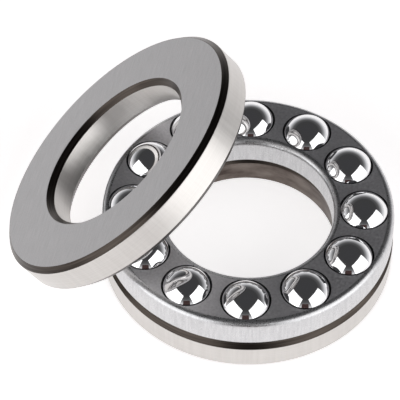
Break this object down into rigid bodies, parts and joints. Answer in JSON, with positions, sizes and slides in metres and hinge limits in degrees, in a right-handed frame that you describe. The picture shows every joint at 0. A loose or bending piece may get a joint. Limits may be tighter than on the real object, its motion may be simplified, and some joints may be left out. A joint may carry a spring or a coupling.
{
  "type": "thrust ball bearing",
  "caption": "Single-direction thrust ball bearing, opened: caged balls on the flat housing washer, with the shaft washer leaning on them.",
  "frame": {"origin": "centre of the housing washer's flat seat face, on the bearing's axis", "axes": "+Z along the bearing's axis, from the housing washer to the balls; the shaft washer leans over the -X side"},
  "size_m": [0.0691, 0.052, 0.0381],
  "materials": {
    "washer_steel": "ground",
    "cage_steel": "pressed sheet, satin",
    "ball_steel": "polished"
  },
  "bodies": {
    "housing": {"housing_washer": "washer_steel"},
    "cage": {"cage_shell": "cage_steel", "cage_plate": "cage_steel"},
    "shaft": {"shaft_washer": "washer_steel"},
    "ball_01": {"ball_01": "ball_steel"},
    "ball_02": {"ball_02": "ball_steel"},
    "ball_03": {"ball_03": "ball_steel"},
    "ball_04": {"ball_04": "ball_steel"},
    "ball_05": {"ball_05": "ball_steel"},
    "ball_06": {"ball_06": "ball_steel"},
    "ball_07": {"ball_07": "ball_steel"},
    "ball_08": {"ball_08": "ball_steel"},
    "ball_09": {"ball_09": "ball_steel"},
    "ball_10": {"ball_10": "ball_steel"},
    "ball_11": {"ball_11": "ball_steel"},
    "ball_12": {"ball_12": "ball_steel"}
  },
  "joints": [
    {"name": "cage_spin", "type": "hinge", "parent": "housing", "child": "cage", "pos_m": [0, 0, 0.01], "axis": [0, 0, 1], "continuous": true},
    {"name": "ball_01_roll", "type": "hinge", "parent": "cage", "child": "ball_01", "pos_m": [0.02012, 0.00391, 0.01], "axis": [0.9816, 0.1908, 0], "continuous": true},
    {"name": "ball_02_roll", "type": "hinge", "parent": "cage", "child": "ball_02", "pos_m": [0.01547, 0.01345, 0.01], "axis": [0.7547, 0.6561, 0], "continuous": true},
    {"name": "ball_03_roll", "type": "hinge", "parent": "cage", "child": "ball_03", "pos_m": [0.00667, 0.01938, 0.01], "axis": [0.3256, 0.9455, 0], "continuous": true},
    {"name": "ball_04_roll", "type": "hinge", "parent": "cage", "child": "ball_04", "pos_m": [-0.00391, 0.02012, 0.01], "axis": [-0.1908, 0.9816, 0], "continuous": true},
    {"name": "washer_swing", "type": "hinge", "parent": "cage", "child": "ball_05", "pos_m": [-0.01345, 0.01547, 0.01], "axis": [0, 1, 0], "range_deg": [0, 102.58]},
    {"name": "ball_06_roll", "type": "hinge", "parent": "cage", "child": "ball_06", "pos_m": [-0.01938, 0.00667, 0.01], "axis": [-0.9455, 0.3256, 0], "continuous": true},
    {"name": "ball_07_roll", "type": "hinge", "parent": "cage", "child": "ball_07", "pos_m": [-0.02012, -0.00391, 0.01], "axis": [-0.9816, -0.1908, 0], "continuous": true},
    {"name": "ball_08_roll", "type": "hinge", "parent": "cage", "child": "ball_08", "pos_m": [-0.01547, -0.01345, 0.01], "axis": [-0.7547, -0.6561, 0], "continuous": true},
    {"name": "ball_09_roll", "type": "hinge", "parent": "cage", "child": "ball_09", "pos_m": [-0.00667, -0.01938, 0.01], "axis": [-0.3256, -0.9455, 0], "continuous": true},
    {"name": "ball_10_roll", "type": "hinge", "parent": "cage", "child": "ball_10", "pos_m": [0.00391, -0.02012, 0.01], "axis": [0.1908, -0.9816, 0], "continuous": true},
    {"name": "ball_11_roll", "type": "hinge", "parent": "cage", "child": "ball_11", "pos_m": [0.01345, -0.01547, 0.01], "axis": [0.6561, -0.7547, 0], "continuous": true},
    {"name": "ball_12_roll", "type": "hinge", "parent": "cage", "child": "ball_12", "pos_m": [0.01938, -0.00667, 0.01], "axis": [0.9455, -0.3256, 0], "continuous": true},
    {"name": "washer_tilt", "type": "hinge", "parent": "ball_05", "child": "shaft", "pos_m": [-0.0249, 0, 0.01969], "axis": [0, 1, 0], "range_deg": [-60.73, 0]}
  ],
  "couplings": [
    {"joint": "ball_01_roll", "follows": "cage_spin", "ratio": -4.3158},
    {"joint": "ball_02_roll", "follows": "cage_spin", "ratio": -4.3158},
    {"joint": "ball_03_roll", "follows": "cage_spin", "ratio": -4.3158},
    {"joint": "ball_04_roll", "follows": "cage_spin", "ratio": -4.3158},
    {"joint": "ball_06_roll", "follows": "cage_spin", "ratio": -4.3158},
    {"joint": "ball_07_roll", "follows": "cage_spin", "ratio": -4.3158},
    {"joint": "ball_08_roll", "follows": "cage_spin", "ratio": -4.3158},
    {"joint": "ball_09_roll", "follows": "cage_spin", "ratio": -4.3158},
    {"joint": "ball_10_roll", "follows": "cage_spin", "ratio": -4.3158},
    {"joint": "ball_11_roll", "follows": "cage_spin", "ratio": -4.3158},
    {"joint": "ball_12_roll", "follows": "cage_spin", "ratio": -4.3158},
    {"joint": "washer_tilt", "follows": "washer_swing", "ratio": -0.59057}
  ]
}
